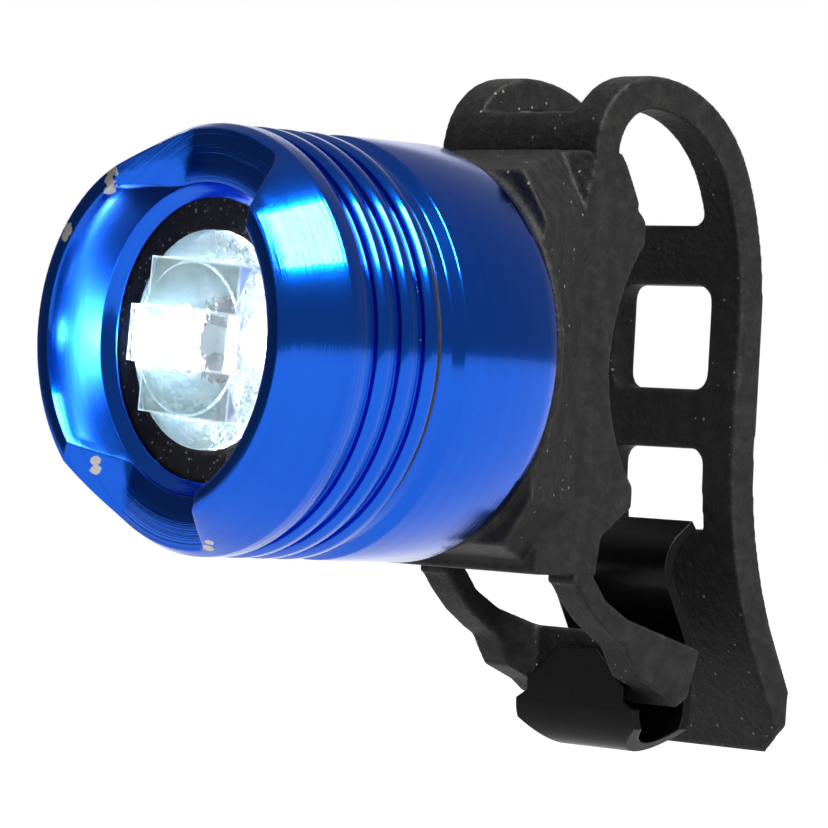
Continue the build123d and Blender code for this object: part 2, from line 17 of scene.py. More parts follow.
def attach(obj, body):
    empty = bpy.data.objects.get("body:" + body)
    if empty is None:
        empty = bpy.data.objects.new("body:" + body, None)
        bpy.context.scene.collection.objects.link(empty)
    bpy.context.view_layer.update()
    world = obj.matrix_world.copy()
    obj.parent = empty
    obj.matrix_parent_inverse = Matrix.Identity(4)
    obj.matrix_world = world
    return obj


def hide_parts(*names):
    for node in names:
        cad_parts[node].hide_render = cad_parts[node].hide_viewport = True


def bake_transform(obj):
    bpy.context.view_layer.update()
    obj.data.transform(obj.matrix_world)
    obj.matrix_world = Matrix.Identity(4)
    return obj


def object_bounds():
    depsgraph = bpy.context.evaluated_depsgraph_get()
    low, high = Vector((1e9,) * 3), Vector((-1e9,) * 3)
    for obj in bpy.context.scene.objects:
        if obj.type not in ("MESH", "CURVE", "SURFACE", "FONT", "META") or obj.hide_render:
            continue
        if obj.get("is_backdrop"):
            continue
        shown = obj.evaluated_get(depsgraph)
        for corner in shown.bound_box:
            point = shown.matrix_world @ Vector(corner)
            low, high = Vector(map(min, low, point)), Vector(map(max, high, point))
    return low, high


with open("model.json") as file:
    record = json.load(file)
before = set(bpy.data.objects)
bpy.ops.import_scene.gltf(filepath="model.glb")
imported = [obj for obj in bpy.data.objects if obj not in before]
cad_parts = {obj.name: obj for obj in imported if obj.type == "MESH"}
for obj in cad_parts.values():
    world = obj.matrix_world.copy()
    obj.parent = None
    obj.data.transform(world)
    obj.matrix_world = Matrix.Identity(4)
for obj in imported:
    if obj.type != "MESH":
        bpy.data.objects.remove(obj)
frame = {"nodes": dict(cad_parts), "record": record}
cad_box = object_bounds()
MM = 0.001

# %% [markdown]
# ## Helpers for meshes
# A soft moulding has no sharp edge anywhere. One way to get that is to bevel every edge,
# which fails where thin facets meet. Here the solid is turned into a fine, even grid of
# faces with a voxel remesh and then smoothed a little, so all edges round off alike.

# %% Mesh helpers
def solid_copy(node, name):
    """A merged copy of a CAD node's mesh, as an object of its own."""
    mesh = frame["nodes"][node].data.copy()
    mesh.name = name
    mesh.materials.clear()
    form = bmesh.new()
    form.from_mesh(mesh)
    bmesh.ops.remove_doubles(form, verts=form.verts, dist=1e-6)
    bmesh.ops.dissolve_limit(form, angle_limit=radians(0.3), verts=form.verts, edges=form.edges)
    form.to_mesh(mesh)
    form.free()
    piece = bpy.data.objects.new(name, mesh)
    bpy.context.scene.collection.objects.link(piece)
    return piece


def baked(piece):
    """Replace a piece's mesh by what its modifiers make of it, and drop them."""
    graph = bpy.context.evaluated_depsgraph_get()
    mesh = bpy.data.meshes.new_from_object(piece.evaluated_get(graph))
    piece.modifiers.clear()
    old = piece.data
    piece.data = mesh
    mesh.name = piece.name
    bpy.data.meshes.remove(old)
    return piece


def moulded(piece, voxel, rounds):
    """Remesh a closed form evenly and smooth it, as a mould rounds every edge."""
    grid = piece.modifiers.new("grid", "REMESH")
    grid.mode = "VOXEL"
    grid.voxel_size = voxel * MM
    soft = piece.modifiers.new("soft", "SMOOTH")
    soft.factor = 0.5
    soft.iterations = rounds
    baked(piece)
    for face in piece.data.polygons:
        face.use_smooth = True
    return piece


def eased(piece, width, steps=2):
    """Break the sharp edges of a hard part, as a tumbling drum or a file does."""
    ease = piece.modifiers.new("ease", "BEVEL")
    ease.limit_method = "ANGLE"
    ease.angle_limit = radians(20)
    ease.width = width * MM
    ease.segments = steps
    ease.use_clamp_overlap = True
    ease.miter_outer = "MITER_ARC"
    baked(piece)
    form = bmesh.new()
    form.from_mesh(piece.data)
    bmesh.ops.triangulate(form, faces=[face for face in form.faces if len(face.verts) > 4])
    form.to_mesh(piece.data)
    form.free()
    for face in piece.data.polygons:
        face.use_smooth = True
    piece.data.set_sharp_from_angle(angle=radians(32))
    return piece


def joined(target, others):
    """Join meshes into the target's mesh."""
    form = bmesh.new()
    for piece in [target, *others]:
        form.from_mesh(piece.data)
    form.to_mesh(target.data)
    form.free()
    for piece in others:
        bpy.data.objects.remove(piece)
    return target


def cut_above(piece, height):
    """Cut a closed mesh off at a height and close it."""
    form = bmesh.new()
    form.from_mesh(piece.data)
    everything = form.verts[:] + form.edges[:] + form.faces[:]
    result = bmesh.ops.bisect_plane(form, geom=everything, plane_co=(0, 0, height * MM), plane_no=(0, 0, 1), clear_outer=True)
    rim = [edge for edge in result["geom_cut"] if isinstance(edge, bmesh.types.BMEdge)]
    bmesh.ops.holes_fill(form, edges=rim)
    form.to_mesh(piece.data)
    form.free()
    return piece


def slab(name, outline, half_low, half_high):
    """A prism along X with a side view of (y, z) points, in millimetres."""
    form = bmesh.new()
    ends = []
    for x in (half_low, half_high):
        ends.append([form.verts.new((x * MM, y * MM, z * MM)) for y, z in outline])
    form.faces.new(ends[0])
    form.faces.new(list(reversed(ends[1])))
    for k in range(len(outline)):
        n = (k + 1) % len(outline)
        form.faces.new((ends[0][n], ends[0][k], ends[1][k], ends[1][n]))
    bmesh.ops.recalc_face_normals(form, faces=form.faces)
    mesh = bpy.data.meshes.new(name)
    form.to_mesh(mesh)
    form.free()
    piece = bpy.data.objects.new(name, mesh)
    bpy.context.scene.collection.objects.link(piece)
    return piece


def hull(name, corners):
    """The convex solid round some corners, in millimetres."""
    form = bmesh.new()
    for corner in corners:
        form.verts.new([value * MM for value in corner])
    made = bmesh.ops.convex_hull(form, input=form.verts)
    bmesh.ops.delete(form, geom=[part for part in made["geom_interior"] if isinstance(part, bmesh.types.BMVert)], context="VERTS")
    bmesh.ops.recalc_face_normals(form, faces=form.faces)
    mesh = bpy.data.meshes.new(name)
    form.to_mesh(mesh)
    form.free()
    piece = bpy.data.objects.new(name, mesh)
    bpy.context.scene.collection.objects.link(piece)
    return piece


# %% [markdown]
# ## Shared shader groups
# Three effects come back on several finishes: fine turning lines on machined metal, pale
# metal where an edge has lost its colour, and dust. Each is a node group with inputs of
# its own, so one group serves every finish with different numbers.

# %% A small wrapper for node trees
class Tree:
    """Short calls to add nodes to a tree and link them."""

    def __init__(self, tree):
        self.tree = tree

    def node(self, kind, **inputs):
        made = self.tree.nodes.new(kind)
        for key, value in inputs.items():
            socket = made.inputs[int(key[1:]) if key[0] == "i" and key[1:].isdigit() else key.replace("_", " ")]
            if isinstance(value, bpy.types.NodeSocket):
                self.tree.links.new(value, socket)
            else:
                socket.default_value = value
        return made

    def math(self, operation, *values):
        made = self.tree.nodes.new("ShaderNodeMath")
        made.operation = operation
        for k, value in enumerate(values):
            if isinstance(value, bpy.types.NodeSocket):
                self.tree.links.new(value, made.inputs[k])
            else:
                made.inputs[k].default_value = value
        return made.outputs[0]

    def ramp(self, value, low, high):
        made = self.tree.nodes.new("ShaderNodeMapRange")
        made.clamp = True
        self.tree.links.new(value, made.inputs["Value"])
        for key, edge in (("From Min", low), ("From Max", high)):
            if isinstance(edge, bpy.types.NodeSocket):
                self.tree.links.new(edge, made.inputs[key])
            else:
                made.inputs[key].default_value = edge
        return made.outputs["Result"]

    def mix(self, share, first, second):
        made = self.tree.nodes.new("ShaderNodeMix")
        made.data_type = "RGBA"
        for key, value in ((0, share), (6, first), (7, second)):
            if isinstance(value, bpy.types.NodeSocket):
                self.tree.links.new(value, made.inputs[key])
            else:
                made.inputs[key].default_value = value
        return made.outputs[2]


def new_group(name, inputs, outputs):
    """An empty shader group with float inputs and the outputs named with their kinds."""
    group = bpy.data.node_groups.new(name, "ShaderNodeTree")
    for label, value in inputs:
        kind = "NodeSocketVector" if isinstance(value, tuple) else "NodeSocketFloat"
        socket = group.interface.new_socket(label, in_out="INPUT", socket_type=kind)
        socket.default_value = value
    for label, kind in outputs:
        group.interface.new_socket(label, in_out="OUTPUT", socket_type=kind)
    tree = Tree(group)
    entry = group.nodes.new("NodeGroupInput")
    exit_node = group.nodes.new("NodeGroupOutput")
    return group, tree, entry, exit_node


# %% Turning lines
lines_group, t, entry, leave = new_group(
    "turning_lines",
    [("Scale", 9000.0), ("Waver", 0.4)],
    [("Height", "NodeSocketFloat"), ("Shade", "NodeSocketFloat")],
)
place = t.node("ShaderNodeTexCoord").outputs["Object"]
parts = t.node("ShaderNodeSeparateXYZ", Vector=place)
radius = t.math("SQRT", t.math("ADD", t.math("POWER", parts.outputs[0], 2.0), t.math("POWER", parts.outputs[2], 2.0)))
along = t.math("SUBTRACT", t.math("MULTIPLY", parts.outputs[1], 0.94), radius)
around = t.math("ARCTAN2", parts.outputs[2], parts.outputs[0])
band = t.node("ShaderNodeCombineXYZ", X=t.math("MULTIPLY", along, entry.outputs["Scale"]), Y=t.math("MULTIPLY", around, entry.outputs["Waver"]))
grain = t.node("ShaderNodeTexNoise", Vector=band.outputs[0], Scale=1.0, Detail=3.0, Roughness=0.65)
wide_band = t.node("ShaderNodeCombineXYZ", X=t.math("MULTIPLY", along, 1500.0), Y=t.math("MULTIPLY", around, 0.15))
wide = t.node("ShaderNodeTexNoise", Vector=wide_band.outputs[0], Scale=1.0, Detail=2.0, Roughness=0.5)
t.tree.links.new(grain.outputs["Fac"], leave.inputs["Height"])
t.tree.links.new(wide.outputs["Fac"], leave.inputs["Shade"])
print("group:", lines_group.name, len(lines_group.nodes), "nodes")

# %% Edge wear
wear_group, t, entry, leave = new_group(
    "edge_wear",
    [("Radius", 0.00015), ("Patch Scale", 600.0), ("Amount", 0.5)],
    [("Mask", "NodeSocketFloat"), ("Normal", "NodeSocketVector")],
)
place = t.node("ShaderNodeTexCoord").outputs["Object"]
bevel = t.tree.nodes.new("ShaderNodeBevel")
bevel.samples = 6
t.tree.links.new(entry.outputs["Radius"], bevel.inputs["Radius"])
true_normal = t.node("ShaderNodeNewGeometry").outputs["True Normal"]
facing = t.tree.nodes.new("ShaderNodeVectorMath")
facing.operation = "DOT_PRODUCT"
t.tree.links.new(bevel.outputs[0], facing.inputs[0])
t.tree.links.new(true_normal, facing.inputs[1])
edge = t.math("SUBTRACT", 1.0, facing.outputs["Value"])
patches = t.node("ShaderNodeTexNoise", Vector=place, Scale=entry.outputs["Patch Scale"], Detail=6.0, Roughness=0.7)
spread = t.math("MULTIPLY", edge, t.ramp(patches.outputs["Fac"], t.math("SUBTRACT", 0.8, t.math("MULTIPLY", entry.outputs["Amount"], 0.45)), 0.72))
t.tree.links.new(t.ramp(spread, 0.02, 0.07), leave.inputs["Mask"])
t.tree.links.new(bevel.outputs[0], leave.inputs["Normal"])
print("group:", wear_group.name, len(wear_group.nodes), "nodes")

# %% Chips
chip_group, t, entry, leave = new_group(
    "chip",
    [("Centre", (0.0, 0.0, 0.0)), ("Radius", 0.001), ("Ragged", 2200.0)],
    [("Mask", "NodeSocketFloat")],
)
place = t.node("ShaderNodeTexCoord").outputs["Object"]
away = t.tree.nodes.new("ShaderNodeVectorMath")
away.operation = "DISTANCE"
t.tree.links.new(place, away.inputs[0])
t.tree.links.new(entry.outputs["Centre"], away.inputs[1])
torn = t.node("ShaderNodeTexNoise", Vector=place, Scale=entry.outputs["Ragged"], Detail=4.0, Roughness=0.75)
share = t.math("DIVIDE", away.outputs["Value"], entry.outputs["Radius"])
torn_edge = t.math("ADD", share, t.math("MULTIPLY", t.math("SUBTRACT", torn.outputs["Fac"], 0.5), 1.5))
t.tree.links.new(t.ramp(torn_edge, 0.95, 0.80), leave.inputs["Mask"])
print("group:", chip_group.name, len(chip_group.nodes), "nodes")

# %% Dust
dust_group, t, entry, leave = new_group(
    "dust",
    [("Speck Scale", 900.0), ("Speck Size", 0.12), ("Haze", 0.2)],
    [("Mask", "NodeSocketFloat")],
)
place = t.node("ShaderNodeTexCoord").outputs["Object"]
cells = t.node("ShaderNodeTexVoronoi", Vector=place, Scale=entry.outputs["Speck Scale"], Randomness=1.0)
pick = t.node("ShaderNodeSeparateColor", Color=cells.outputs["Color"])
size = t.math("MULTIPLY", entry.outputs["Speck Size"], t.ramp(pick.outputs[0], 0.55, 1.0))
specks = t.math("LESS_THAN", cells.outputs["Distance"], size)
cloud = t.node("ShaderNodeTexNoise", Vector=place, Scale=900.0, Detail=6.0, Roughness=0.8)
haze = t.math("MULTIPLY", t.ramp(cloud.outputs["Fac"], 0.45, 0.75), entry.outputs["Haze"])
t.tree.links.new(t.math("MAXIMUM", specks, haze), leave.inputs["Mask"])
print("group:", dust_group.name, len(dust_group.nodes), "nodes")


def use(t, group, **inputs):
    """Place a shared group in a material's tree with its own values."""
    made = t.tree.nodes.new("ShaderNodeGroup")
    made.node_tree = group
    for key, value in inputs.items():
        made.inputs[key.replace("_", " ")].default_value = value
    return made


def finish_tree(name):
    """A new material: its tree, its shader and its bump node."""
    material = bpy.data.materials.new(name)
    material.use_nodes = True
    t = Tree(material.node_tree)
    shader = material.node_tree.nodes["Principled BSDF"]
    bump = material.node_tree.nodes.new("ShaderNodeBump")
    bump.inputs["Distance"].default_value = 1.0
    t.tree.links.new(bump.outputs[0], shader.inputs["Normal"])
    return material, t, shader, bump


# %% [markdown]
# ## Anodised aluminium
# The head is turned on a lathe, so its faces carry fine rings that stretch every highlight
# across them. Anodising leaves the metal's own gloss under a clear coloured layer: a metal
# shader with a deep blue colour, and bare metal where an edge is chipped.

# %% Anodised blue
CHIPS = [
    (-5.2, -47.2, 10.6, 0.56), (-5.3, -47.1, 9.9, 0.54), (-5.5, -47.0, 9.3, 0.46), (-9.3, -47.3, 6.8, 0.50),
    (-9.6, -47.2, 6.3, 0.40), (-7.3, -45.5, -8.2, 0.36), (-7.4, -45.4, -8.8, 0.38), (2.3, -43.8, -13.3, 0.44),
    (3.0, -44.3, -12.9, 0.36),
]


def anodised():
    material, t, shader, bump = finish_tree("anodised_blue")
    turned = use(t, lines_group, Scale=7000.0, Waver=0.4)
    worn = use(t, wear_group, Radius=0.00016, Patch_Scale=700.0, Amount=0.35)
    place = t.node("ShaderNodeTexCoord").outputs["Object"]
    blue = t.mix(turned.outputs["Shade"], (0.0006, 0.075, 0.52, 1), (0.0012, 0.108, 0.68, 1))
    bare = worn.outputs["Mask"]
    for x, y, z, reach in CHIPS:
        chip = use(t, chip_group, Centre=(x * MM, y * MM, z * MM), Radius=reach * MM)
        bare = t.math("MAXIMUM", bare, chip.outputs["Mask"])
    colour = t.mix(bare, blue, (0.50, 0.48, 0.46, 1))
    t.tree.links.new(colour, shader.inputs["Base Color"])
    shader.inputs["Metallic"].default_value = 1.0
    shader.inputs["Coat Weight"].default_value = 0.30
    shader.inputs["Coat Roughness"].default_value = 0.05
    smear = t.node("ShaderNodeTexNoise", Vector=place, Scale=120.0, Detail=4.0)
    rough = t.math("ADD", 0.13, t.math("MULTIPLY", smear.outputs["Fac"], 0.07))
    rough = t.math("ADD", rough, t.math("MULTIPLY", bare, 0.28))
    t.tree.links.new(rough, shader.inputs["Roughness"])
    parts = t.node("ShaderNodeSeparateXYZ", Vector=place)
    outward = t.math("SQRT", t.math("ADD", t.math("POWER", parts.outputs[0], 2.0), t.math("POWER", parts.outputs[2], 2.0)))
    coarse = t.math("MULTIPLY", t.ramp(parts.outputs[1], -0.0408, -0.0418), t.ramp(outward, 0.0117, 0.0122))
    depth = t.math("ADD", 0.000008, t.math("MULTIPLY", coarse, 0.000028))
    t.tree.links.new(t.math("MULTIPLY", turned.outputs["Height"], depth), bump.inputs["Height"])
    t.tree.links.new(bump.outputs[0], shader.inputs["Coat Normal"])
    t.tree.links.new(worn.outputs["Normal"], bump.inputs["Normal"])
    return material


blue_finish = anodised()

# %% [markdown]
# ## Black silicone
# Moulded silicone is a matt black that holds dust and lint. Its moulding lines and edges
# rub pale. The colour stays almost black, with a soft wide highlight, a fine skin bump and
# specks of dust.

# %% Silicone
def silicone(name, speck, haze, crowd):
    material, t, shader, bump = finish_tree(name)
    place = t.node("ShaderNodeTexCoord").outputs["Object"]
    dust = use(t, dust_group, Speck_Scale=crowd, Speck_Size=speck, Haze=haze)
    skin = t.node("ShaderNodeTexNoise", Vector=place, Scale=1900.0, Detail=4.0, Roughness=0.7)
    cloud = t.node("ShaderNodeTexNoise", Vector=place, Scale=520.0, Detail=5.0)
    black = t.mix(cloud.outputs["Fac"], (0.0066, 0.0066, 0.0072, 1), (0.0150, 0.0148, 0.0147, 1))
    shader.inputs["Specular IOR Level"].default_value = 0.10
    rubbed = use(t, wear_group, Radius=0.0006, Patch_Scale=900.0, Amount=1.2)
    black = t.mix(t.math("MULTIPLY", rubbed.outputs["Mask"], 0.7), black, (0.042, 0.042, 0.041, 1))
    colour = t.mix(dust.outputs["Mask"], black, (0.15, 0.14, 0.12, 1))
    t.tree.links.new(colour, shader.inputs["Base Color"])
    rough = t.math("ADD", 0.40, t.math("MULTIPLY", cloud.outputs["Fac"], 0.15))
    t.tree.links.new(rough, shader.inputs["Roughness"])
    t.tree.links.new(t.math("MULTIPLY", skin.outputs["Fac"], 0.00012), bump.inputs["Height"])
    return material


rubber_finish = silicone("black_silicone", 0.18, 0.10, 1500.0)
dusty_finish = silicone("dusty_silicone", 0.36, 0.08, 3200.0)

# %% [markdown]
# ## Small finishes for the inside
# The pieces inside the head are seen only when it is unscrewed, or through the lens. Each
# still gets a finish with some variation: plastic, solder mask, plated spring metal, cells.

# %% Inner finishes
def simple(name, low, high, metallic=0.0, rough=0.45, scale=400.0, bump_height=0.00001):
    material, t, shader, bump = finish_tree(name)
    place = t.node("ShaderNodeTexCoord").outputs["Object"]
    cloud = t.node("ShaderNodeTexNoise", Vector=place, Scale=scale, Detail=4.0, Roughness=0.6)
    t.tree.links.new(t.mix(cloud.outputs["Fac"], (*low, 1), (*high, 1)), shader.inputs["Base Color"])
    shader.inputs["Metallic"].default_value = metallic
    level = t.math("ADD", rough - 0.06, t.math("MULTIPLY", cloud.outputs["Fac"], 0.12))
    t.tree.links.new(level, shader.inputs["Roughness"])
    t.tree.links.new(t.math("MULTIPLY", cloud.outputs["Fac"], bump_height), bump.inputs["Height"])
    return material


inner = {
    "black_plastic": simple("black_plastic", (0.012, 0.012, 0.013), (0.03, 0.03, 0.03)),
    "white_plastic": simple("white_plastic", (0.70, 0.70, 0.68), (0.82, 0.82, 0.80)),
    "board_green": simple("solder_mask", (0.010, 0.10, 0.035), (0.02, 0.20, 0.07), rough=0.3),
    "led_yellow": simple("led_lens", (0.75, 0.66, 0.25), (0.92, 0.85, 0.45), rough=0.2),
    "contact_metal": simple("plated_metal", (0.62, 0.58, 0.50), (0.80, 0.77, 0.70), 1.0, 0.3, 1500.0),
    "cell_steel": simple("cell_steel", (0.55, 0.55, 0.56), (0.78, 0.78, 0.78), 1.0, 0.28, 900.0),
}


# %% Hook plastic
def hook_plastic():
    material, t, shader, bump = finish_tree("hook_plastic")
    place = t.node("ShaderNodeTexCoord").outputs["Object"]
    rub = t.node("ShaderNodeTexNoise", Vector=place, Scale=300.0, Detail=5.0, Roughness=0.7)
    worn = use(t, wear_group, Radius=0.00018, Patch_Scale=900.0, Amount=1.0)
    black = t.mix(rub.outputs["Fac"], (0.0008, 0.0008, 0.0009, 1), (0.0020, 0.0020, 0.0020, 1))
    colour = t.mix(worn.outputs["Mask"], black, (0.02, 0.02, 0.021, 1))
    shader.inputs["Specular IOR Level"].default_value = 0.10
    t.tree.links.new(colour, shader.inputs["Base Color"])
    level = t.math("ADD", 0.16, t.math("MULTIPLY", rub.outputs["Fac"], 0.2))
    t.tree.links.new(level, shader.inputs["Roughness"])
    t.tree.links.new(worn.outputs["Normal"], bump.inputs["Normal"])
    t.tree.links.new(t.math("MULTIPLY", rub.outputs["Fac"], 0.00002), bump.inputs["Height"])
    return material


hook_finish = hook_plastic()

# %% Dress the hard nodes
slot_finish = dict(inner, blue_anodised=blue_finish, black_silicone=rubber_finish, hook_plastic=hook_finish)
for entry_row in frame["record"]["subparts"]:
    finish = slot_finish.get(entry_row["material_slot"])
    if finish:
        shown = frame["nodes"][entry_row["node"]]
        for slot in shown.material_slots:
            slot.material = finish
for slot in frame["nodes"]["lens_diaphragm"].material_slots:
    slot.material = dusty_finish

# %% [markdown]
# ## The head and the barrel
# Turned edges are never razor sharp: a small rounding on each one is what catches the light
# as a thin line. The copies here differ from the CAD only by that rounding.

# %% Turned pieces
for node, body, width in (("head_bezel", "head", 0.07), ("rear_barrel", "barrel", 0.09)):
    turned_skin = eased(solid_copy(node, node + "_skin"), width)
    turned_skin.data.materials.append(blue_finish)
    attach(turned_skin, body)
    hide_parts(node)
    print(node, "faces:", len(turned_skin.data.polygons), "edges eased by", width, "mm")

# %% [markdown]
# ## The thread on the neck
# Unscrewing the head bares the barrel's neck and its thread. A thread is one profile swept
# along a helix, so Geometry Nodes draws the helix and sweeps a small ridge along it. Its
# turns, pitch and radius stay inputs.

# %% Thread
def helix_group():
    group = bpy.data.node_groups.new("thread_ridge", "GeometryNodeTree")
    group.interface.new_socket("Turns", in_out="INPUT", socket_type="NodeSocketFloat").default_value = 3.0
    group.interface.new_socket("Pitch", in_out="INPUT", socket_type="NodeSocketFloat").default_value = 0.0015
    group.interface.new_socket("Radius", in_out="INPUT", socket_type="NodeSocketFloat").default_value = 0.012
    group.interface.new_socket("Ridge", in_out="INPUT", socket_type="NodeSocketFloat").default_value = 0.0001
    group.interface.new_socket("Finish", in_out="INPUT", socket_type="NodeSocketMaterial")
    group.interface.new_socket("Geometry", in_out="OUTPUT", socket_type="NodeSocketGeometry")
    t = Tree(group)
    entry = group.nodes.new("NodeGroupInput")
    leave = group.nodes.new("NodeGroupOutput")
    helix = t.node("GeometryNodeCurveSpiral", Resolution=72, Rotations=entry.outputs["Turns"])
    for key in ("Start Radius", "End Radius"):
        group.links.new(entry.outputs["Radius"], helix.inputs[key])
    group.links.new(t.math("MULTIPLY", entry.outputs["Turns"], entry.outputs["Pitch"]), helix.inputs["Height"])
    profile = t.node("GeometryNodeCurvePrimitiveCircle", Resolution=6, Radius=entry.outputs["Ridge"])
    swept = t.node("GeometryNodeCurveToMesh", Curve=helix.outputs[0], i1=profile.outputs["Curve"])
    real = t.node("GeometryNodeRealizeInstances", Geometry=swept.outputs[0])
    coated = t.node("GeometryNodeSetMaterial", Geometry=real.outputs[0], Material=entry.outputs["Finish"])
    group.links.new(coated.outputs[0], leave.inputs["Geometry"])
    return group


NECK_R, THREAD_PITCH, SEAM_Y, NECK_LENGTH = 12.1, 1.5, -34.64, 5.67
thread = bpy.data.objects.new("thread", bpy.data.meshes.new("thread"))
bpy.context.scene.collection.objects.link(thread)
sweep = thread.modifiers.new("sweep", "NODES")
sweep.node_group = helix_group()
turns = (NECK_LENGTH - 1.4) / THREAD_PITCH
for item in sweep.node_group.interface.items_tree:
    wanted = {"Turns": turns, "Pitch": THREAD_PITCH * MM, "Radius": (NECK_R - 0.06) * MM, "Ridge": 0.12 * MM, "Finish": blue_finish}
    if item.name in wanted:
        sweep[item.identifier] = wanted[item.name]
baked(thread)
turned_up = Matrix.Translation((0, (SEAM_Y - 0.7) * MM, 0)) @ Matrix.Rotation(radians(90), 4, "X")
thread.data.transform(turned_up)
for face in thread.data.polygons:
    face.use_smooth = True
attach(thread, "barrel")
low = min(vertex.co.y for vertex in thread.data.vertices)
high = max(vertex.co.y for vertex in thread.data.vertices)
print("thread: %.1f turns from %.2f to %.2f mm" % (turns, low / MM, high / MM))

# %% [markdown]
# ## The boot
# The boot is one silicone moulding with the strap and the tongue. It is made from its CAD
# solid without the front of the arch, which belongs to the strap's piece below, and gets
# rounded edges from the remesh.

# %% Boot
REAR = -24.45
boot_skin = cut_above(solid_copy("boot", "boot_skin"), 14.32)
corners = [(4.8, -16.7, 14.2), (7.6, -16.7, 10.1), (7.6, -15.7, 14.3), (7.5, -13.2, 14.3), (7.6, -12.3, 12.2)]
corners += [(7.6, -11.4, 10.9), (7.6, -13.0, 8.0), (3.0, -16.5, 8.0), (3.0, -12.3, 12.0), (3.0, -13.2, 14.2)]
joined(boot_skin, [hull("shoulder", corners), hull("shoulder", [(-x, y, z) for x, y, z in corners])])
moulded(boot_skin, 0.175, 8)
boot_skin.data.materials.append(rubber_finish)
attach(boot_skin, "barrel")
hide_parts("boot")
print("boot:", len(boot_skin.data.polygons), "faces")

# %% [markdown]
# ## The strap
# The strap leaves the boot as two rails, arches over, and runs down as a ladder. The CAD
# has it cut at the top of the arch, where its hinge is. Here the rails of the front arch
# are added and the whole is remeshed as one strip.

# %% Strap
RAIL = (4.6, 7.6)
ARCH_Y, ARCH_Z, ARCH_OUT, ARCH_IN = -10.5, 14.3, 5.4, 3.1


def arch_outline():
    points = []
    for k in range(25):
        angle = radians(180 - 90 * k / 24)
        points.append((ARCH_Y + ARCH_OUT * cos(angle), ARCH_Z + ARCH_OUT * sin(angle)))
    points.append((ARCH_Y + 0.6, ARCH_Z + ARCH_OUT))
    points.append((ARCH_Y + 0.6, ARCH_Z + ARCH_IN))
    for k in range(25):
        angle = radians(90 + 90 * k / 24)
        points.append((ARCH_Y + ARCH_IN * cos(angle), ARCH_Z + ARCH_IN * sin(angle)))
    points.append((ARCH_Y - ARCH_IN, 12.6))
    points.append((ARCH_Y - ARCH_OUT, 12.6))
    return points


def depth_at(piece, height):
    """How far along Y a mesh reaches at a height, both in millimetres."""
    crossings = []
    for edge in piece.data.edges:
        first, second = (piece.data.vertices[k].co / MM for k in edge.vertices)
        if (first.z - height) * (second.z - height) < 0:
            share = (height - first.z) / (second.z - first.z)
            crossings.append(first.y + share * (second.y - first.y))
    return min(crossings), max(crossings)


rails = [slab("rail", arch_outline(), -RAIL[1], -RAIL[0]), slab("rail", arch_outline(), RAIL[0], RAIL[1])]
foot = [(ARCH_Y - ARCH_OUT, 12.6)]
for k in range(9):
    angle = radians(180 - 30 * k / 8)
    foot.append((ARCH_Y + ARCH_OUT * cos(angle), ARCH_Z + ARCH_OUT * sin(angle)))
for k in range(9):
    angle = radians(128 + 52 * k / 8)
    foot.append((ARCH_Y + ARCH_IN * cos(angle), ARCH_Z + ARCH_IN * sin(angle)))
foot.append((ARCH_Y - ARCH_IN, 12.6))
rails.append(slab("foot", foot, -7.5, 7.5))
strap_skin = solid_copy("strap", "strap_skin")
low_y = depth_at(strap_skin, -12.8)
high_y = depth_at(strap_skin, -11.0)
rails.append(slab("rung", [(low_y[0], -12.8), (low_y[1], -12.8), (high_y[1], -11.0), (high_y[0], -11.0)], -5.4, 5.4))
joined(strap_skin, rails)
moulded(strap_skin, 0.165, 13)
strap_skin.data.materials.append(rubber_finish)
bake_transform(strap_skin)
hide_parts("strap")
print("strap:", len(strap_skin.data.polygons), "faces")

# %% [markdown]
# ## The tongue
# The tongue is a thick loop under the saddle. Its root runs up into the boot, so that no
# gap shows when it bends.

# %% Tongue
tongue_skin = solid_copy("tongue", "tongue_skin")
root = [(-15.9, -14.9), (-15.9, -12.9), (-14.0, -12.6), (-14.0, -14.9)]
joined(tongue_skin, [slab("root", root, -7.6, -4.95), slab("root", root, 4.95, 7.6)])
moulded(tongue_skin, 0.14, 12)
tongue_skin.data.materials.append(rubber_finish)
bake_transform(tongue_skin)
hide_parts("tongue")
print("tongue:", len(tongue_skin.data.polygons), "faces")

# %% [markdown]
# ## The lens
# The lens is one clear moulding: a shallow cone with three block-shaped bars in front. A glow
# painted on it stands in for the lit LEDs behind it: almost white, with a painted glare brightest at its two ends.

# %% Lens finishes
def near_leds(t, place, out, reach):
    """How near a place is to a line ahead at that distance out, left or right: 1 on it, 0 at the reach."""
    parts = t.node("ShaderNodeSeparateXYZ", Vector=place)
    side = t.math("SUBTRACT", t.math("ABSOLUTE", parts.outputs[0]), out * MM)
    spread = t.math("SQRT", t.math("ADD", t.math("POWER", side, 2.0), t.math("POWER", parts.outputs[2], 2.0)))
    return t.ramp(spread, reach * MM, 0.0)


LED_X, GLARE_X = 4.6, 7.0


